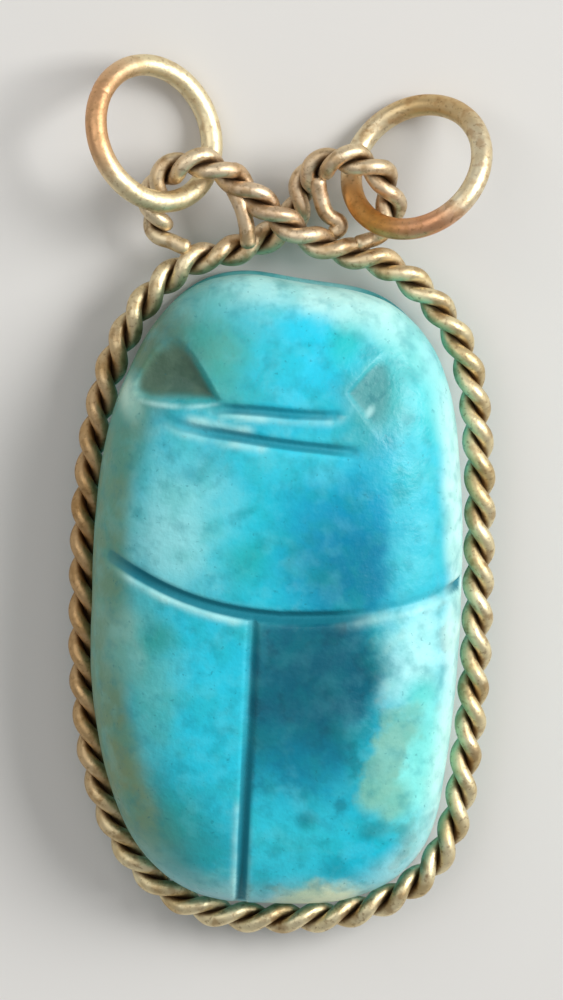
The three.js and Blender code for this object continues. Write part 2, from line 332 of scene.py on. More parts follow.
def carve(points, outwards):
    # cuts the lines and the eye flats into the smooth back, and marks where the glaze changes for them and
    # where light and shade are painted
    marks = {name: np.zeros(len(points)) for name in ("pool", "paleLipAndHighlight", *eyeCuts)}
    stray, lipWearAndSheen = scarab["brimStray"], scarab["lipWearAndSheen"]
    # the brims: the pale one is partly a painted highlight towards the light, the green one partly a painted
    # shade away from it
    turns = np.degrees(outlineTurns(points[:, :2]))
    share = outlineShare(points[:, :2]) + stray["by"] * noiseAt(points, stray["size"], 31)
    for name, brim in brims.items():
        strength = np.interp(turns, list(brim["strengths"]), list(brim["strengths"].values()))
        marks[name] = strength * fade(share, *brim["starts"])
    cut = np.zeros(len(points))
    wearAndSheen = lipWearAndSheen["mean"] + lipWearAndSheen["patches"] * noiseAt(points, lipWearAndSheen["patchSize"], 21)
    wearAndSheen += lipWearAndSheen["flecks"] * noiseAt(points, lipWearAndSheen["fleckSize"], 22)
    beside = {}
    for seed, (name, line) in enumerate(carvedLines.items()):
        places = smoothBack(evenLine(np.array(line["places"]) * halfSize, 0.6))[0]
        gap, along, side = lineDistance(points, places)
        beside[name] = fade(gap * side, -0.35, 0.35)
        hand = noiseAt(points, chisel["waver"], seed)
        half = line["width"] / 2 * (1 + chisel["widthWaver"] * hand)
        depth = line["depth"] * (chisel["meanDepth"] + chisel["depthWaver"] * hand)
        depth = depth * np.interp(along, *line["cut"])
        bottom = chisel["bottom"]
        sides = depth / half * (np.sqrt(gap ** 2 + bottom ** 2) - bottom)
        lineCut = -smoothMin(sides - depth, np.zeros(len(points)), chisel["edge"])
        cut = np.maximum(cut, lineCut)
        pool = fade(lineCut / depth, 0.02, 0.5) * np.interp(along, *line["pool"])
        marks["pool"] = np.maximum(marks["pool"], pool)
        # pale lips beside the lines: partly worn glaze, partly a painted highlight where an edge faces the
        # light
        for paleLipAndHighlight in line["paleLipsAndHighlights"]:
            edge = np.exp(-((gap * side * paleLipAndHighlight["side"] - half - 0.15) / paleLipAndHighlight["width"]) ** 2)
            run = fade(along, paleLipAndHighlight["from"] - 0.05, paleLipAndHighlight["from"] + 0.05)
            run = run * fade(-along, -paleLipAndHighlight["to"] - 0.05, 0.05 - paleLipAndHighlight["to"])
            marks["paleLipAndHighlight"] = np.maximum(marks["paleLipAndHighlight"], paleLipAndHighlight["strength"] * edge * run * wearAndSheen)
    marks["front"] = beside["seam"]
    marks["leftCase"] = (1 - beside["seam"]) * (1 - beside["median"])
    marks["rightCase"] = (1 - beside["seam"]) * beside["median"]
    uneven = scarab["unevenness"] * noiseAt(points, scarab["unevennessSize"], 11)
    uneven += scarab["unevenness"] * 0.35 * noiseAt(points, scarab["unevennessSize"] / 3, 12)
    points = points + outwards * (uneven - cut)[:, None]
    for name, eye in eyeCuts.items():
        corner = np.array(eye["corner"]) * halfSize
        floor = smoothBack(corner[None])[0][0, 2] - eye["depth"]
        away = points[:, :2] - corner
        side, front = math.radians(eye["sideFall"]) * np.sign(corner[0]), math.radians(eye["frontFall"])
        plane = floor - math.tan(side) / math.cos(front) * away[:, 0] - math.tan(front) * away[:, 1]
        first, last = (rayAt(turn) for turn in eye["walls"])
        beyond = [
            away[:, 0] * first[1] - away[:, 1] * first[0],
            away[:, 1] * last[0] - away[:, 0] * last[1],
        ]
        outside = np.maximum(*beyond)
        wall = 0.5 * (outside + np.sqrt(outside ** 2 + eye["scoop"] ** 2))
        cutter = plane + chisel["wallRise"] * wall
        before = points[:, 2].copy()
        points[:, 2] = smoothMin(before, cutter, chisel["edge"])
        # painted shade in each eye cut, strongest where it is cut deepest
        marks[name] = fade(before - points[:, 2], 0.05, 0.6 * eye["depth"]) * fade(-outside, -0.5, 0.6)
        # pale lips along the eye cut's walls: partly worn glaze, partly a painted highlight
        rim = np.exp(-((before - cutter + 0.3) / 0.7) ** 2) * fade(before - cutter, -1.6, 0)
        for strength, past, other in zip(eye["wallLipsAndHighlights"], beyond, beyond[::-1]):
            edge = rim * fade(past, 0.05, 0.5) * fade(-past, -1.6, -0.6) * fade(-other, -0.6, 0.3)
            marks["paleLipAndHighlight"] = np.maximum(marks["paleLipAndHighlight"], strength * edge * wearAndSheen)
    return points, marks


def sideRows():
    # rows from below the girdle down the waist, round the bevel and in over the underside
    waist, bevel, border = scarab["waist"], scarab["baseBevel"], scarab["border"]
    for share in np.linspace(1, 0, scarab["sideRows"] + 1)[1:]:
        growth = -waist * (math.sin(math.pi * share) + (1 - share) / 2)
        yield growth, bevel + share * (scarab["girdle"] - bevel), 1
    for turn in np.linspace(0, math.pi / 2, 6)[1:]:
        yield -waist / 2 - bevel * (1 - math.cos(turn)), bevel * (1 - math.sin(turn)), 1
    edge = -waist / 2 - bevel
    for inset in (0.6, *border["inset"] + border["width"] * np.linspace(-0.5, 0.5, 7)):
        depth = border["depth"] * max(0, 1 - abs(inset - border["inset"]) / border["width"] * 2)
        yield edge - inset, depth, 1
    for size in (0.8, 0.6, 0.4, 0.2):
        yield edge - 2, 0, size


def buildScarab(material):
    outline, inner = backPlan()
    count = len(outline)
    loop = [(i, (i + 1) % count) for i in range(count)]
    corners, _, triangles, origins, _, _ = geometry.delaunay_2d_cdt(
        [Vector(point) for point in (*outline, *inner)], loop, [], 1, 1e-7)
    placed = {origin: i for i, merged in enumerate(origins) for origin in merged}
    smooth, outwards = smoothBack(rollBack(np.array([tuple(corner) for corner in corners])))
    points, marks = carve(smooth, outwards)
    above = [placed[i] for i in range(count)]
    girdleRise = (points - smooth)[above]
    faces = [tuple(face) for face in triangles]
    rim = {name: values[above] for name, values in marks.items()}
    for growth, z, size in sideRows():
        row = np.column_stack((outlinePoints(outlineTurns(outline), growth) * size, np.full(count, z)))
        row[:, :2] += girdleRise[:, :2] * min(1, z / scarab["girdle"])
        below = [len(points) + i for i in range(count)]
        points = np.concatenate((points, row))
        for name, values in rim.items():
            marks[name] = np.concatenate((marks[name], values * fade(z, 1.5, scarab["girdle"])))
        faces += [(above[i], above[(i + 1) % count], below[(i + 1) % count], below[i]) for i in range(count)]
        above = below
    points = np.concatenate((points, [(0, 0, 0)]))
    faces += [(above[i], above[(i + 1) % count], len(points) - 1) for i in range(count)]
    piece = meshPiece("scarabBody", shapeOutline(points) + scarabMiddle, faces, material)
    for name, values in marks.items():
        layer = piece.data.attributes.new(name, "FLOAT", "POINT")
        layer.data.foreach_set("value", np.append(values, 0).astype(np.float32))
    shell = bmesh.new()
    shell.from_mesh(piece.data)
    bmesh.ops.recalc_face_normals(shell, faces=shell.faces)
    shell.to_mesh(piece.data)
    shell.free()
    return piece


# Tones of the glaze, laid one over another, with some painted light and shade among them. Those with "at" are
# patches where it ran thicker, thinner or another tone, and a few painted highlights and shadows, placed from
# the scarab's middle, and "rise" is how far down the side they run; those with "cloud" come and go all over;
# those with "mark" follow the carving. The seam and the median part the glaze into the front, the left wing
# case and the right one, and a tone "within" one stops at its lines.
glazeTones = [
    {"cloud": 7.0, "from": 0.4, "to": 0.64, "tone": "#12a6c2", "strength": 0.5},
    {"cloud": 3.2, "from": 0.46, "to": 0.7, "tone": "#45c4c8", "strength": 0.45},
    {"cloud": 1.8, "from": 0.5, "to": 0.8, "tone": "#9fe2e2", "strength": 0.3},
    # the head
    {"at": (-5.4, 19.4), "size": (4.6, 5.2), "turn": 10, "soft": 0.7, "tone": "#4aa99b", "strength": 0.95},
    {"at": (-7.4, 19.8), "size": (2.8, 2.6), "soft": 0.8, "tone": "#4a8c82", "strength": 0.6},
    {"at": (1.4, 18.4), "size": (3.8, 4.4), "soft": 0.8, "tone": "#22cdea", "strength": 0.85},
    {"at": (4.6, 19.2), "size": (1.2, 1.8), "turn": -15, "soft": 0.7, "tone": "#1fbcb2", "strength": 0.6},
    {"at": (-3.2, 21.6), "size": (3.2, 1.9), "turn": -8, "soft": 0.8, "tone": "#4fbccb", "strength": 0.65},
    {"at": (2.6, 23.4), "size": (6.8, 1.9), "turn": -6, "soft": 0.8, "tone": "#b4f2ec", "strength": 0.8},
    {"at": (9.2, 16.5), "size": (2.8, 5.0), "turn": 25, "soft": 0.7, "tone": "#41cdca", "strength": 0.75},
    # painted shadow running out from the left eye cut to the outline
    {"at": (-10.0, 18.0), "size": (3.6, 3.0), "turn": -40, "soft": 0.6,
     "tone": "#4c7263", "strength": 0.95},
    {"at": (7.0, 14.6), "size": (2.2, 3.4), "soft": 0.7, "tone": "#52a0a3", "strength": 0.7},
    # the prothorax: pale at the left shoulder, partly a painted sheen of the light, deep towards the seam
    {"at": (-7.2, 5.2), "size": (4.0, 4.9), "turn": -12, "soft": 0.8,
     "tone": "#7fdbe0", "strength": 0.95, "within": "front"},
    {"at": (-8.2, 4.6), "size": (2.6, 3.0), "turn": 10, "soft": 0.7,
     "tone": "#a2e6ea", "strength": 0.5, "within": "front"},
    {"at": (-1.4, 5.8), "size": (2.4, 5.6), "turn": -5, "soft": 0.7,
     "tone": "#1fc4d8", "strength": 0.8, "within": "front"},
    {"at": (1.6, 10.4), "size": (4.0, 1.4), "turn": -6, "soft": 0.7, "tone": "#44d4ec", "strength": 0.7},
    {"at": (4.6, 8.0), "size": (5.4, 2.0), "turn": -8, "soft": 0.8, "tone": "#0cb0cc", "strength": 0.7},
    {"at": (-6.4, 9.3), "size": (0.8, 0.6), "soft": 0.9, "tone": "#1f98a8", "strength": 0.6},
    {"at": (-2.2, 3.0), "size": (1.7, 1.5), "turn": 30, "tone": "#17a59e", "strength": 0.55},
    {"at": (5.1, 3.9), "size": (4.5, 5.5), "turn": -6, "soft": 0.6,
     "tone": "#008bb2", "strength": 0.95, "within": "front"},
    {"at": (5.4, 1.6), "size": (3.2, 3.6), "soft": 0.7,
     "tone": "#02728f", "strength": 0.7, "within": "front"},
    {"at": (10.0, 5.0), "size": (1.8, 8.0), "soft": 0.7, "tone": "#48c9d8", "strength": 0.7},
    # the left wing case: greener to the side and the tail
    {"at": (-5.2, -9.0), "size": (4.0, 9.6), "turn": 3, "soft": 0.6,
     "tone": "#27c9e2", "strength": 0.9, "within": "leftCase"},
    {"at": (-9.4, -5.5), "size": (2.0, 6.8), "turn": 4, "soft": 0.7,
     "tone": "#62c0bb", "strength": 0.8, "within": "leftCase"},
    {"at": (-8.8, -3.0), "size": (1.4, 1.2), "turn": 30, "soft": 0.8,
     "tone": "#1d958a", "strength": 0.7, "within": "leftCase"},
    {"at": (-7.0, -18.0), "size": (3.2, 4.2), "turn": 25, "soft": 0.8,
     "tone": "#25908f", "strength": 0.75, "within": "leftCase"},
    # the right wing case: dark by the lines, sage towards the edge, and pale at the edge, partly a painted
    # highlight where the side faces the light
    {"at": (2.4, -5.8), "size": (6.0, 7.8), "turn": -14, "soft": 0.26,
     "tone": "#05687d", "strength": 0.97, "within": "rightCase"},
    {"at": (4.4, -5.4), "size": (4.0, 3.4), "turn": -10, "soft": 0.7,
     "tone": "#045468", "strength": 0.6, "within": "rightCase"},
    {"cloud": 1.7, "from": 0.5, "to": 0.66, "tone": "#023c4f", "strength": 0.6, "within": "rightCase"},
    {"at": (2.2, -13.0), "size": (4.2, 3.2), "soft": 0.8,
     "tone": "#058dab", "strength": 0.75, "within": "rightCase"},
    # pale by the right edge: partly a painted highlight
    {"at": (10.6, -3.6), "size": (2.5, 4.4), "turn": -5, "soft": 0.5,
     "tone": "#b2f2f2", "strength": 0.9, "within": "rightCase"},
    {"at": (10.8, -7.0), "size": (1.1, 1.2), "soft": 0.7, "tone": "#2fc0bd", "strength": 0.85},
    # pale by the right edge: partly a painted highlight
    {"at": (10.8, -12.4), "size": (2.5, 5.0), "turn": -8, "soft": 0.5, "tone": "#8ceadf", "strength": 0.85},
    {"at": (8.6, -12.1), "size": (1.4, 4.3), "turn": -20, "soft": 0.25, "tone": "#7cbaaa", "strength": 0.9},
    {"at": (8.4, -14.7), "size": (1.9, 1.6), "soft": 0.35, "tone": "#80c4b2", "strength": 0.85},
    {"at": (1.8, -18.4), "size": (5.0, 3.4), "turn": -8, "soft": 0.7,
     "tone": "#34d0e4", "strength": 0.85, "within": "rightCase"},
    {"at": (6.7, -19.3), "size": (2.8, 2.2), "turn": 40, "soft": 0.7, "tone": "#0bc2dd", "strength": 0.9},
    {"at": (2.6, -16.4), "size": (0.7, 0.7), "soft": 0.8, "tone": "#067a88", "strength": 0.7},
    {"at": (7.6, -17.2), "size": (0.8, 0.6), "soft": 0.8, "tone": "#067a88", "strength": 0.6},
    {"at": (4.9, -20.3), "size": (1.0, 0.8), "soft": 0.9, "tone": "#0a8f9e", "strength": 0.6},
    # the edge with its painted light and shade, the mottling all over, and the carving with its painted shade
    # and highlights
    # greener edge at the left: partly the glaze's tone, partly painted shade away from the light
    {"mark": "greenBrimAndShade", "tone": "#71936f", "strength": 0.9},
    {"at": (-11.4, -3.6), "size": (1.6, 2.8), "soft": 0.8,
     "tone": "#8cc2b4", "strength": 0.7, "within": "leftCase"},
    {"at": (-10.9, -13.6), "size": (1.5, 4.2), "turn": 20, "soft": 0.8, "tone": "#83946a", "strength": 0.6},
    # pale edge, most at the right: partly thin glaze, partly a painted highlight
    {"mark": "paleBrimAndHighlight", "tone": "#cdf7ee", "strength": 0.85},
    {"at": (3.8, -23.4), "size": (3.8, 1.7), "rise": 5, "turn": 8, "soft": 0.5,
     "tone": "#e6f3cb", "strength": 0.95},
    # painted highlight on the corner of the left shoulder
    {"at": (-11.2, 14.5), "size": (0.8, 1.5), "rise": 4, "turn": 12, "soft": 0.8,
     "tone": "#bfe8d6", "strength": 0.9},
    {"cloud": 2.5, "from": 0.43, "to": 0.66, "tone": "#1ba6a0", "strength": 0.26},
    {"cloud": 1.9, "from": 0.48, "to": 0.7, "tone": "#7fe2ea", "strength": 0.12},
    {"cloud": 1.3, "from": 0.46, "to": 0.76, "tone": "#0b8490", "strength": 0.36},
    {"at": (2.2, -6.0), "size": (4.8, 6.2), "turn": -14, "soft": 0.5,
     "tone": "#03586e", "strength": 0.55, "within": "rightCase"},
    # painted shade in the left eye cut, with a paler mottle in it
    {"mark": "leftEye", "tone": "#45604e", "strength": 0.9},
    {"cloud": 2.0, "from": 0.4, "to": 0.75, "tone": "#6c8a74", "strength": 0.5, "within": "leftEye"},
    # milder painted shade in the right eye cut, with darker flecks in it
    {"mark": "rightEye", "tone": "#4f9496", "strength": 0.8},
    {"cloud": 0.6, "from": 0.48, "to": 0.66, "tone": "#2b7d85", "strength": 0.6, "within": "rightEye"},
    # a painted glint of light in the right eye cut
    {"at": (6.5, 14.2), "size": (0.4, 0.24), "turn": 60, "soft": 0.9, "tone": "#b4e8e6", "strength": 0.6},
    {"cloud": 0.4, "from": 0.64, "to": 0.76, "tone": "#0a6a78", "strength": 0.4},
    # pale lips: partly worn glaze, partly painted highlight
    {"mark": "paleLipAndHighlight", "tone": "#c2f4ee", "strength": 0.75},
    {"mark": "pool", "tone": "#0e7789", "strength": 0.95},
]

# Glazed ceramic, hand carved and dipped: the glaze stands dark in the cuts, runs thin and pale over worn lips
# and the edge, and clouds from turquoise to green over the body, with a soft uneven gloss. The pale lips and
# the pale right edge are partly painted highlight, and the green left edge and the eye cuts carry painted
# shade.
glaze = {
    "name": "turquoiseGlazedCeramic",
    "colour": "#22b9d2",
    "tones": glazeTones,
    "wander": {"cloud": 3.4, "by": 2.2},    # how the patches' edges stray
    "roughness": (0.27, 0.5), "cutRoughness": 0.75,
    "glossPatches": {"size": 2.2, "detail": 5.0},
    "relief": ((0.35, 0.07), (2.4, 0.16)),    # size and depth of the grain and of the orange peel
    "reliefStrength": 0.55,
    "shader": {"Specular IOR Level": 0.3},
}

patchLevel, patchRise = 9, 13    # height of the patches' middles, and how far they reach up and down


def layTones(tree, place, straying, colour, tones):
    # lays the tones over a colour: the larger patches by the straying place, the rest by the true one
    for tone in tones:
        start, end = tone.get("from", 0.0), tone.get("to", 1.0)
        if "mark" in tone:
            cover = addNode(tree, "ShaderNodeAttribute", attribute_name=tone["mark"]).outputs["Fac"]
        elif "cloud" in tone:
            cover = addNode(tree, "ShaderNodeTexNoise", {
                "Vector": place, "Scale": 1 / (tone["cloud"] * mm), "Detail": 3.0})
        else:
            soft = tone.get("soft", 0.6)
            start, end = 1 + soft, 1 - soft
            at = np.array((*tone["at"], patchLevel)) + scarabMiddle
            around = addNode(tree, "ShaderNodeMapping", {
                "Vector": straying if max(tone["size"]) > 2 else place, "Location": tuple(at * mm),
                "Rotation": (0, 0, math.radians(tone.get("turn", 0))),
                "Scale": tuple(np.array((*tone["size"], tone.get("rise", patchRise))) * mm),
            }, vector_type="TEXTURE")
            cover = addNode(tree, "ShaderNodeVectorMath", {0: around}, operation="LENGTH").outputs["Value"]
        share = addNode(tree, "ShaderNodeMapRange", {
            "Value": cover, "From Min": start, "From Max": end, "To Max": tone["strength"],
        }, interpolation_type="SMOOTHSTEP")
        if "within" in tone:
            inside = addNode(tree, "ShaderNodeAttribute", attribute_name=tone["within"]).outputs["Fac"]
            share = addNode(tree, "ShaderNodeMath", {0: share, 1: inside}, operation="MULTIPLY")
        colour = addNode(tree, "ShaderNodeMix", {
            0: share, 6: colour, 7: linearColour(tone["tone"])}, data_type="RGBA").outputs[2]
    return colour


def strayFrom(tree, place, wander):
    # the place pushed about by a noise, so that what is laid by it has ragged edges
    push = addNode(tree, "ShaderNodeTexNoise", {
        "Vector": place, "Scale": 1 / (wander["cloud"] * mm), "Detail": 4.0, "Roughness": 0.55})
    centred = addNode(tree, "ShaderNodeVectorMath", {
        0: push.outputs["Color"], 1: (0.5, 0.5, 0.5)}, operation="SUBTRACT")
    return addNode(tree, "ShaderNodeVectorMath", {
        0: centred, 1: (2 * wander["by"] * mm,) * 3, 2: place}, operation="MULTIPLY_ADD").outputs[0]


def finishedSurface(look):
    # a material with the look's tones, a gloss that comes and goes, and fine bumps one over another
    material = bpy.data.materials.new(look["name"])
    material.use_nodes = True
    tree = material.node_tree
    shader = tree.nodes["Principled BSDF"]
    place = addNode(tree, "ShaderNodeTexCoord").outputs["Object"]
    straying = strayFrom(tree, place, look["wander"])
    colour = layTones(tree, place, straying, linearColour(look["colour"]), look["tones"])
    tree.links.new(colour, shader.inputs["Base Color"])
    low, high = look["roughness"]
    patches = look["glossPatches"]
    patchy = addNode(tree, "ShaderNodeTexNoise", {
        "Vector": place, "Scale": 1 / (patches["size"] * mm), "Detail": patches["detail"]})
    gloss = addNode(tree, "ShaderNodeMapRange", {
        "Value": patchy, "From Min": 0.3, "From Max": 0.7, "To Min": low, "To Max": high})
    if "cutRoughness" in look:
        inCuts = addNode(tree, "ShaderNodeAttribute", attribute_name="pool").outputs["Fac"]
        gloss = addNode(tree, "ShaderNodeMix", {
            0: inCuts, 2: gloss, 3: look["cutRoughness"]}, data_type="FLOAT")
    tree.links.new(gloss.outputs[0], shader.inputs["Roughness"])
    below = {}
    for size, depth in look["relief"]:
        height = addNode(tree, "ShaderNodeTexNoise", {
            "Vector": place, "Scale": 1 / (size * mm), "Detail": 3.0})
        bumps = addNode(tree, "ShaderNodeBump", {
            "Height": height, "Strength": look["reliefStrength"], "Distance": depth * mm, **below})
        below = {"Normal": bumps}
    tree.links.new(bumps.outputs[0], shader.inputs["Normal"])
    for socket, value in look["shader"].items():
        shader.inputs[socket].default_value = value
    return material


# Brass, drawn through a die and worn: pale where it is rubbed bright, with brown tarnish in clouds and in the
# hollows that no finger reaches, the brown in the hollows partly a painted shade between the strands. The
# tones work as the glaze's do, and "hollow" marks where two strands meet.
wornBrass = {
    "wander": {"cloud": 3.0, "by": 1.5},
    "glossPatches": {"size": 0.9, "detail": 4.0},
    "reliefStrength": 0.5,
    "shader": {"Metallic": 1},
}

drawnWire = {
    **wornBrass,
    "name": "drawnBrassWire",
    "colour": "#f1e3ba",
    "tones": [
        {"cloud": 3.0, "from": 0.42, "to": 0.66, "tone": "#d2ba88", "strength": 0.8},
        # browner at the left side, a painted shade away from the light, and pinker by the eyelets
        {"at": (-18.0, 2), "size": (7, 30), "soft": 0.5, "tone": "#c29a6a", "strength": 0.85},
        {"at": (0, 29), "size": (13, 5), "soft": 0.7, "tone": "#dbb9a4", "strength": 0.5},
        {"cloud": 1.2, "from": 0.48, "to": 0.66, "tone": "#a5804f", "strength": 0.55},
        {"cloud": 0.35, "from": 0.55, "to": 0.7, "tone": "#86633a", "strength": 0.45},
        # brown in the hollows: partly tarnish, partly painted shade where the strands meet
        {"mark": "hollow", "from": 0.15, "to": 0.9, "tone": "#6d5030", "strength": 0.85},
    ],
    "roughness": (0.4, 0.58),
    "relief": ((0.25, 0.035), (1.1, 0.16)),    # size and depth of the drawing marks and of the dents
}

paleRing = {
    **wornBrass,
    "name": "paleBrassRing",
    "colour": "#f2e4bc",
    "tones": [
        {"cloud": 2.6, "from": 0.45, "to": 0.68, "tone": "#e0cda0", "strength": 0.6},
        # copper at the upper left
        {"at": (-14.6, 35.5), "size": (3.4, 4.6), "soft": 0.7, "tone": "#d8a070", "strength": 0.85},
        {"cloud": 0.9, "from": 0.5, "to": 0.68, "tone": "#b8956a", "strength": 0.45},
        {"cloud": 0.35, "from": 0.56, "to": 0.7, "tone": "#967448", "strength": 0.4},
    ],
    "roughness": (0.4, 0.56),
    "relief": ((0.3, 0.035), (1.1, 0.1)),
}

goldenRing = {
    **wornBrass,
    "name": "goldenBrassRing",
    "colour": "#f1e6c6",
    "tones": [
        {"cloud": 2.6, "from": 0.45, "to": 0.68, "tone": "#dcc393", "strength": 0.65},
        # golden at the top, copper at the bottom
        {"at": (8.5, 37.0), "size": (6.0, 3.2), "soft": 0.7, "tone": "#cfa865", "strength": 0.85},
        {"at": (10.5, 26.6), "size": (5.0, 2.6), "soft": 0.6, "tone": "#d9966a", "strength": 0.85},
        {"at": (5.6, 28.0), "size": (2.6, 3.0), "soft": 0.6, "tone": "#d99a40", "strength": 0.85},
        {"cloud": 0.9, "from": 0.5, "to": 0.68, "tone": "#b0804a", "strength": 0.45},
        {"cloud": 0.35, "from": 0.56, "to": 0.7, "tone": "#875d30", "strength": 0.4},
    ],
    "roughness": (0.38, 0.54),
    "relief": ((0.3, 0.035), (1.1, 0.1)),
}


# The frame: two strands laid together, round the scarab's side and up into two eyelets at the head
wireFrame = {
    "strand": 1.2,               # thickness of one strand
    "layRadius": 0.59,           # from the middle of the twist to the middle of a strand
    "twistRadius": 1.15,
    "pitch": 5.3,
    "level": 3.5,
    "sideGap": 0.6, "endGap": 1.3,    # between the scarab's side and the wire
    "aside": 0.35,               # the frame sits this much to the right
    "bow": {"turn": 40, "height": 0.6},    # and bows out beside the right of the head
    "ringWire": 1.6, "eyeletPlay": 0.55, "eyeletRise": 1.6, "crossingGap": 0.25,
    "leftEyelet": (-6.6, -0.55), "rightEyelet": (4.4, 0),    # across, and along from touching the rim
    # where the two ends cross, and from there where the upper and the lower one come to the rim
    "crossing": {"aside": 1.2, "upper": (2.4, 0.25), "lower": (-1.8, 0.1)},
    "tail": 2.6,                 # of one strand, from an eyelet onto the rim
    "opening": 2.8,              # over which the two strands come apart before it
    "tailGap": 0.6,              # between the tail and where they lie close
    "endRounding": (-0.35, 0.3),    # over which a wire's end narrows
    "hollow": (0.45, 1.05),      # from the middle line, in the hollows and on the crowns
    "sideCount": 12,             # corners round a strand
    "pathStep": 0.16,
    "handWobble": 0.22, "wobbleSize": 3.5,
}

tightGrowth = wireFrame["twistRadius"] - scarab["waist"]
eyeletRadius = wireFrame["twistRadius"] + wireFrame["ringWire"] + wireFrame["eyeletPlay"]
crossingRise = wireFrame["twistRadius"] + wireFrame["crossingGap"] / 2
rimTop = halfSize[1] + tightGrowth + wireFrame["endGap"]
leftEyelet, rightEyelet = (
    np.array((across, rimTop + eyeletRadius + along))
    for across, along in (wireFrame["leftEyelet"], wireFrame["rightEyelet"]))


def nearEyelet(eyelet, places):
    # places given as turn round the eyelet, reach in eyelet radii and height in strand radii
    return [(
        *(eyelet + reach * eyeletRadius * rayAt(turn)),
        wireFrame["level"] + height * wireFrame["twistRadius"] / 2,
    ) for turn, reach, height in places]


def eyeletArc(eyelet, start, end, lowAt):
    points = []
    for turn in np.linspace(start, end, 13):
        rise = wireFrame["eyeletRise"] * max(0, math.sin(math.radians(turn))) ** 1.5
        height = wireFrame["level"] + rise - crossingRise * lowAt(turn)
        points.append((*(eyelet + eyeletRadius * rayAt(turn)), height))
    return points


def framePath():
    # the wire's middle line: tail, left eyelet, over the crossing, round the rim, under the crossing,
    # right eyelet, tail
    aside, upper, lower = (wireFrame["crossing"][name] for name in ("aside", "upper", "lower"))
    crossing = np.array(((leftEyelet[0] + rightEyelet[0]) / 2 + aside, rimTop + eyeletRadius * 0.5))
    level, gap = wireFrame["level"], wireFrame["crossingGap"]
    high, low = level + crossingRise, level - crossingRise
    start = nearEyelet(leftEyelet, [(-99, 0.98, 0.8), (-114, 1, 0.4)])
    points = start + eyeletArc(leftEyelet, -130, -318, lambda turn: 0)
    leave = points[-1]
    points += [
        ((leave[0] + crossing[0]) / 2, (leave[1] + crossing[1]) / 2, high),
        (crossing[0], crossing[1], high + gap / 2),
        (crossing[0] + upper[0], rimTop + upper[1], (high + level) / 2 + gap),
    ]
    turns = np.radians(np.arange(68, -249, -4))
    away = wireFrame["sideGap"] + (wireFrame["endGap"] - wireFrame["sideGap"]) * np.sin(turns) ** 2
    away += bulge(turns, wireFrame["bow"]) + bulge(turns, scarab["tailSwell"])
    points += [(x + wireFrame["aside"], y, level) for x, y in outlinePoints(turns, tightGrowth + away)]
    points += [
        (crossing[0] + lower[0], rimTop + lower[1], low + gap),
        (crossing[0], crossing[1] - gap, low - gap / 2),
    ]
    points += eyeletArc(rightEyelet, 180, -46, lambda turn: float(fade(turn, 100, 180)))
    return points + nearEyelet(rightEyelet, [(-61, 1, 0.4), (-77, 0.98, 0.8)])


looseEnds = [
    nearEyelet(leftEyelet, [(36, 0.9, 1.4), (-8, 1.06, 1.8), (-38, 1.5, 1.3)]),
    nearEyelet(rightEyelet, [
        (140, 0.86, 1.2), (170, 0.59, 0.7), (216, 0.52, 0.4), (258, 0.56, 0.2), (248, 0.84, 0.2)]),
]


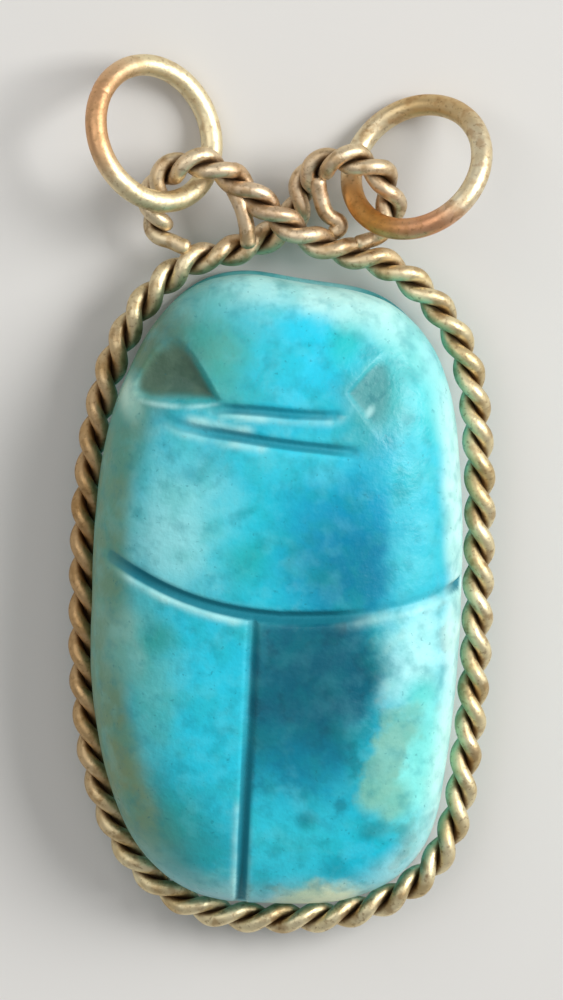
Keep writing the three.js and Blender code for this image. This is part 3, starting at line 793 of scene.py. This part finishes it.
def strandTree(material):
    # lays strands round each path as a left-handed twist, sweeps them round, and marks how deep each
    # point lies between them
    tree = bpy.data.node_groups.new("laidStrands", "GeometryNodeTree")
    face = tree.interface
    face.new_socket("Geometry", in_out="INPUT", socket_type="NodeSocketGeometry")
    for name, value in {
        "Strand radius": wireFrame["strand"] / 2 * mm,
        "Lay radius": 0.0,
        "Pitch": wireFrame["pitch"] * mm,
        "Tail": wireFrame["tail"] * mm,
        "Opening": wireFrame["opening"] * mm,
        "Path step": wireFrame["pathStep"] * mm,
        "Hand wobble": wireFrame["handWobble"] * mm,
        "Second strand": 0.0,
    }.items():
        face.new_socket(name, in_out="INPUT", socket_type="NodeSocketFloat").default_value = value
    face.new_socket("Geometry", in_out="OUTPUT", socket_type="NodeSocketGeometry")
    given = addNode(tree, "NodeGroupInput").outputs

    path = addNode(tree, "GeometryNodeResampleCurve", {
        "Curve": given["Geometry"], "Length": given["Path step"]}, mode="LENGTH")
    position = addNode(tree, "GeometryNodeInputPosition")
    kept = addNode(tree, "GeometryNodeStoreNamedAttribute", {
        "Geometry": path, "Name": "middleLine", "Value": position}, data_type="FLOAT_VECTOR", domain="POINT")
    reach = addNode(tree, "GeometryNodeSplineParameter").outputs["Length"]
    total = addNode(tree, "GeometryNodeSplineLength").outputs["Length"]
    rest = addNode(tree, "ShaderNodeMath", {0: total, 1: reach}, operation="SUBTRACT")
    fromEnd = addNode(tree, "ShaderNodeMath", {0: reach, 1: rest}, operation="MINIMUM")
    fromTail = addNode(tree, "ShaderNodeMath", {0: reach, 1: given["Tail"]}, operation="SUBTRACT")

    # the twist opens before its tails, where only the first strand goes on
    full = addNode(tree, "ShaderNodeMath", {
        0: given["Tail"], 1: wireFrame["tailGap"] * mm}, operation="ADD")
    opened = addNode(tree, "ShaderNodeMath", {0: full, 1: given["Opening"]}, operation="SUBTRACT")
    laid = addNode(tree, "ShaderNodeMapRange", {
        "Value": fromEnd, "From Min": opened, "From Max": full}, interpolation_type="SMOOTHSTEP")
    lay = addNode(tree, "ShaderNodeMath", {0: laid, 1: given["Lay radius"]}, operation="MULTIPLY")
    kept = addNode(tree, "GeometryNodeStoreNamedAttribute", {
        "Geometry": kept, "Name": "laid", "Value": laid}, data_type="FLOAT", domain="POINT")
    pitches = addNode(tree, "ShaderNodeMath", {0: fromTail, 1: given["Pitch"]}, operation="DIVIDE")
    along = addNode(tree, "GeometryNodeInputTangent")
    across = addNode(tree, "ShaderNodeVectorMath", {0: (0, 0, 1), 1: along}, operation="CROSS_PRODUCT")
    aside = addNode(tree, "ShaderNodeVectorMath", {0: across}, operation="NORMALIZE")

    # no hand lays wire quite evenly
    shake = addNode(tree, "ShaderNodeTexNoise", {
        "Vector": position, "Scale": 1 / (wireFrame["wobbleSize"] * mm), "Detail": 1.0}).outputs["Color"]
    centred = addNode(tree, "ShaderNodeVectorMath", {0: shake, 1: (0.5, 0.5, 0.5)}, operation="SUBTRACT")
    wobble = addNode(tree, "ShaderNodeVectorMath", {
        0: centred, "Scale": given["Hand wobble"]}, operation="SCALE")

    profile = addNode(tree, "GeometryNodeCurvePrimitiveCircle", {
        "Resolution": wireFrame["sideCount"], "Radius": given["Strand radius"]})
    narrowest, widest = wireFrame["endRounding"]
    rounding = addNode(tree, "ShaderNodeMapRange", {
        "Value": fromEnd, "From Min": narrowest * mm, "From Max": widest * mm,
    }, interpolation_type="SMOOTHSTEP")
    joined = addNode(tree, "GeometryNodeJoinGeometry")
    for strand in range(2):
        turn = addNode(tree, "ShaderNodeMath", {
            0: pitches, 1: -2 * math.pi, 2: strand * math.pi}, operation="MULTIPLY_ADD")
        lean = addNode(tree, "ShaderNodeVectorRotate", {
            "Vector": aside, "Axis": along, "Angle": turn}, rotation_type="AXIS_ANGLE")
        offset = addNode(tree, "ShaderNodeVectorMath", {0: lean, "Scale": lay}, operation="SCALE")
        moved = addNode(tree, "GeometryNodeSetPosition", {
            "Geometry": kept,
            "Offset": addNode(tree, "ShaderNodeVectorMath", {0: offset, 1: wobble}, operation="ADD"),
        })
        if strand:
            lastReach = addNode(tree, "ShaderNodeMath", {0: total, 1: given["Tail"]}, operation="SUBTRACT")
            moved = addNode(tree, "GeometryNodeTrimCurve", {
                "Curve": moved, 4: given["Tail"], 5: lastReach}, mode="LENGTH")
        swept = addNode(tree, "GeometryNodeCurveToMesh", {
            "Curve": moved, "Profile Curve": profile, "Scale": rounding, "Fill Caps": True})
        if strand:
            swept = addNode(tree, "GeometryNodeSwitch", {
                "Switch": given["Second strand"], "True": swept}, input_type="GEOMETRY")
        tree.links.new(swept.outputs[0], joined.inputs[0])

    middleLine = addNode(tree, "GeometryNodeInputNamedAttribute", {
        "Name": "middleLine"}, data_type="FLOAT_VECTOR")
    away = addNode(tree, "ShaderNodeVectorMath", {
        0: position, 1: middleLine}, operation="DISTANCE").outputs["Value"]
    twisted = addNode(tree, "GeometryNodeInputNamedAttribute", {"Name": "laid"}, data_type="FLOAT")
    deepest = addNode(tree, "ShaderNodeMath", {0: twisted, 1: given["Second strand"]}, operation="MULTIPLY")
    inHollow, onCrown = wireFrame["hollow"]
    hollow = addNode(tree, "ShaderNodeMapRange", {
        "Value": away, "From Min": inHollow * mm, "From Max": onCrown * mm,
        "To Min": deepest, "To Max": 0.0}, interpolation_type="SMOOTHSTEP")
    marked = addNode(tree, "GeometryNodeStoreNamedAttribute", {
        "Geometry": joined, "Name": "hollow", "Value": hollow}, data_type="FLOAT", domain="POINT")
    smoothed = addNode(tree, "GeometryNodeSetShadeSmooth", {"Geometry": marked})
    real = addNode(tree, "GeometryNodeRealizeInstances", {"Geometry": smoothed})
    finished = addNode(tree, "GeometryNodeSetMaterial", {"Geometry": real, "Material": material})
    addNode(tree, "NodeGroupOutput", {"Geometry": finished})
    return tree


def sweepStrands(tree, lines, values):
    # runs the tree on a smooth curve through each line's places, and keeps the result as a plain mesh
    curve = bpy.data.curves.new("wirePath", "CURVE")
    curve.dimensions = "3D"
    curve.resolution_u = 24
    for line in lines:
        spline = curve.splines.new("BEZIER")
        spline.bezier_points.add(len(line) - 1)
        for point, place in zip(spline.bezier_points, line):
            point.co = Vector(scarabMiddle + place) * mm
            point.handle_left_type = point.handle_right_type = "AUTO"
    holder = addObject("wirePath", curve)
    modifier = holder.modifiers.new("laidStrands", "NODES")
    modifier.node_group = tree
    for socket in tree.interface.items_tree:
        if socket.name in values:
            modifier[socket.identifier] = values[socket.name]
    bpy.context.view_layer.update()
    evaluated = holder.evaluated_get(bpy.context.evaluated_depsgraph_get())
    mesh = bpy.data.meshes.new_from_object(evaluated, depsgraph=bpy.context.evaluated_depsgraph_get())
    bpy.data.objects.remove(holder)
    return mesh


def buildFrame(material):
    path = framePath()
    length = np.linalg.norm(np.diff(np.array(path), axis=0), axis=1).sum() - 2 * wireFrame["tail"]
    turns = round(length / wireFrame["pitch"] * 8) / 8    # whole eighths of a turn
    tree = strandTree(material)
    shell = bmesh.new()
    shell.from_mesh(sweepStrands(tree, [path], {
        "Lay radius": wireFrame["layRadius"] * mm, "Pitch": length / turns * mm, "Second strand": 1.0}))
    shell.from_mesh(sweepStrands(tree, looseEnds, {"Hand wobble": 0.0}))
    merged = bpy.data.meshes.new("twistedFrame")
    shell.to_mesh(merged)
    shell.free()
    merged.materials.append(material)
    return addObject("twistedFrame", merged)


jumpRings = {
    "diameter": 12.0, "wire": 1.6,
    "sections": 180, "sideCount": 20,
    # the closed joint shows as a fine line; its width, and its own rows of points, in radians
    "jointLine": {"pinch": 0.045, "width": 0.018, "clear": 0.07,
                  "rows": (-0.06, -0.03, -0.015, 0, 0.015, 0.03, 0.06)},
    "outOfRound": 0.05,
    "poses": {
        "ring_left": {"lean": 42, "leanTurn": 29, "joint": 150},
        "ring_right": {"lean": 42.7, "leanTurn": 127, "joint": 20},
    },
}


def buildRing(name, node, material):
    # a bent round wire with its ends closed against each other
    pose = jumpRings["poses"][node]
    low, high = (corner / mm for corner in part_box(node))
    lean, leanTurn = math.radians(pose["lean"]), math.radians(pose["leanTurn"])
    turn = Vector((0, 0, 1)).rotation_difference(Vector((
        math.sin(lean) * math.cos(leanTurn), math.sin(lean) * math.sin(leanTurn), math.cos(lean))))
    radius = (jumpRings["diameter"] - jumpRings["wire"]) / 2
    joint, line = math.radians(pose["joint"]), jumpRings["jointLine"]
    around = np.linspace(0, 2 * math.pi, jumpRings["sections"], endpoint=False)
    around = around[np.abs(np.angle(np.exp(1j * (around - joint)))) > line["clear"]]
    around = np.concatenate((around, joint + np.array(line["rows"])))
    around = np.sort(np.mod(around, 2 * math.pi))
    sides = np.linspace(0, 2 * math.pi, jumpRings["sideCount"], endpoint=False)
    points = []
    for angle in around:
        fromJoint = abs(math.atan2(math.sin(angle - joint), math.cos(angle - joint)))
        wire = jumpRings["wire"] / 2 * (1 - line["pinch"] * math.exp(-(fromJoint / line["width"]) ** 2))
        reach = radius + jumpRings["outOfRound"] * math.cos(2 * angle + 1)
        for side in sides:
            out = reach + wire * math.cos(side)
            points.append((low + high) / 2 + turn @ Vector((
                out * math.cos(angle), out * math.sin(angle), wire * math.sin(side))))
    rows, count = len(around), len(sides)
    faces = [(
        i * count + j,
        (i + 1) % rows * count + j,
        (i + 1) % rows * count + (j + 1) % count,
        i * count + (j + 1) % count,
    ) for i in range(rows) for j in range(count)]
    return meshPiece(name, points, faces, material)


body = buildScarab(finishedSurface(glaze))
print("scarab:", len(body.data.polygons), "faces")
wire = buildFrame(finishedSurface(drawnWire))
print("twisted frame:", len(wire.data.polygons), "faces")
leftRing = buildRing("jumpRingLeft", "ring_left", finishedSurface(paleRing))
rightRing = buildRing("jumpRingRight", "ring_right", finishedSurface(goldenRing))
print("jump rings:", len(leftRing.data.polygons) + len(rightRing.data.polygons), "faces")

for piece, node, slot in (
    (body, "scarab", "turquoise_glaze"),
    (wire, "twisted_wire_frame", "twisted_brass_wire"),
    (leftRing, "ring_left", "round_brass_wire"),
    (rightRing, "ring_right", "round_brass_wire"),
):
    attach(piece, "root")
    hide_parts(node)

studio = {
    "floorColour": "#d8d6d2", "floorSize": 1200,
    "worldStrength": 0.34,
    "key": {"at": (560, 220, 460), "size": 380, "power": 5.5},
    "fill": {"at": (-285, 285, 600), "size": 570, "power": 1.35},
    "aim": (0.2, 6.7, 6.4),      # what the camera looks at, from the scarab's middle
    "distance": 600,
    "tilt": 9,                   # degrees towards the head
    "roll": 1.5,
    "frameHeight": 74,
}

half = studio["floorSize"] / 2
corners = [(-half, -half, 0), (half, -half, 0), (half, half, 0), (-half, half, 0)]
floor = meshPiece("floor", corners, [(0, 1, 2, 3)], bpy.data.materials.new("paleFloor"))
floor.data.materials[0].use_nodes = True
floorShader = floor.data.materials[0].node_tree.nodes["Principled BSDF"]
floorShader.inputs["Base Color"].default_value = linearColour(studio["floorColour"])
floorShader.inputs["Roughness"].default_value = 0.8

world = bpy.data.worlds.new("studio")
world.use_nodes = True
world.node_tree.nodes["Background"].inputs["Strength"].default_value = studio["worldStrength"]
world.node_tree.nodes["Background"].inputs["Color"].default_value = (1, 1, 1, 1)
bpy.context.scene.world = world

target = Vector(scarabMiddle + studio["aim"]) * mm
for name in ("key", "fill"):
    look = studio[name]
    light = bpy.data.lights.new(name, "AREA")
    light.size = look["size"] * mm
    light.energy = look["power"]
    holder = addObject(name, light)
    holder.location = Vector(look["at"]) * mm
    holder.rotation_mode = "QUATERNION"
    holder.rotation_quaternion = (target - holder.location).to_track_quat("-Z", "Y")

tilt, roll = math.radians(studio["tilt"]), math.radians(studio["roll"])
back = Vector((0, math.sin(tilt), math.cos(tilt)))
sideways = Vector((math.sin(-roll), math.cos(roll), 0)).cross(back).normalized()
camera = bpy.data.cameras.new("camera")
camera.lens = 18 / (studio["frameHeight"] / 2 / studio["distance"])
camera.clip_start, camera.clip_end = 0.05, 5
cameraHolder = addObject("camera", camera)
cameraHolder.location = target + back * studio["distance"] * mm
cameraHolder.rotation_mode = "QUATERNION"
cameraHolder.rotation_quaternion = Matrix((sideways, back.cross(sideways), back)).transposed().to_quaternion()
bpy.context.scene.camera = cameraHolder
bpy.context.scene.view_settings.view_transform = "Standard"
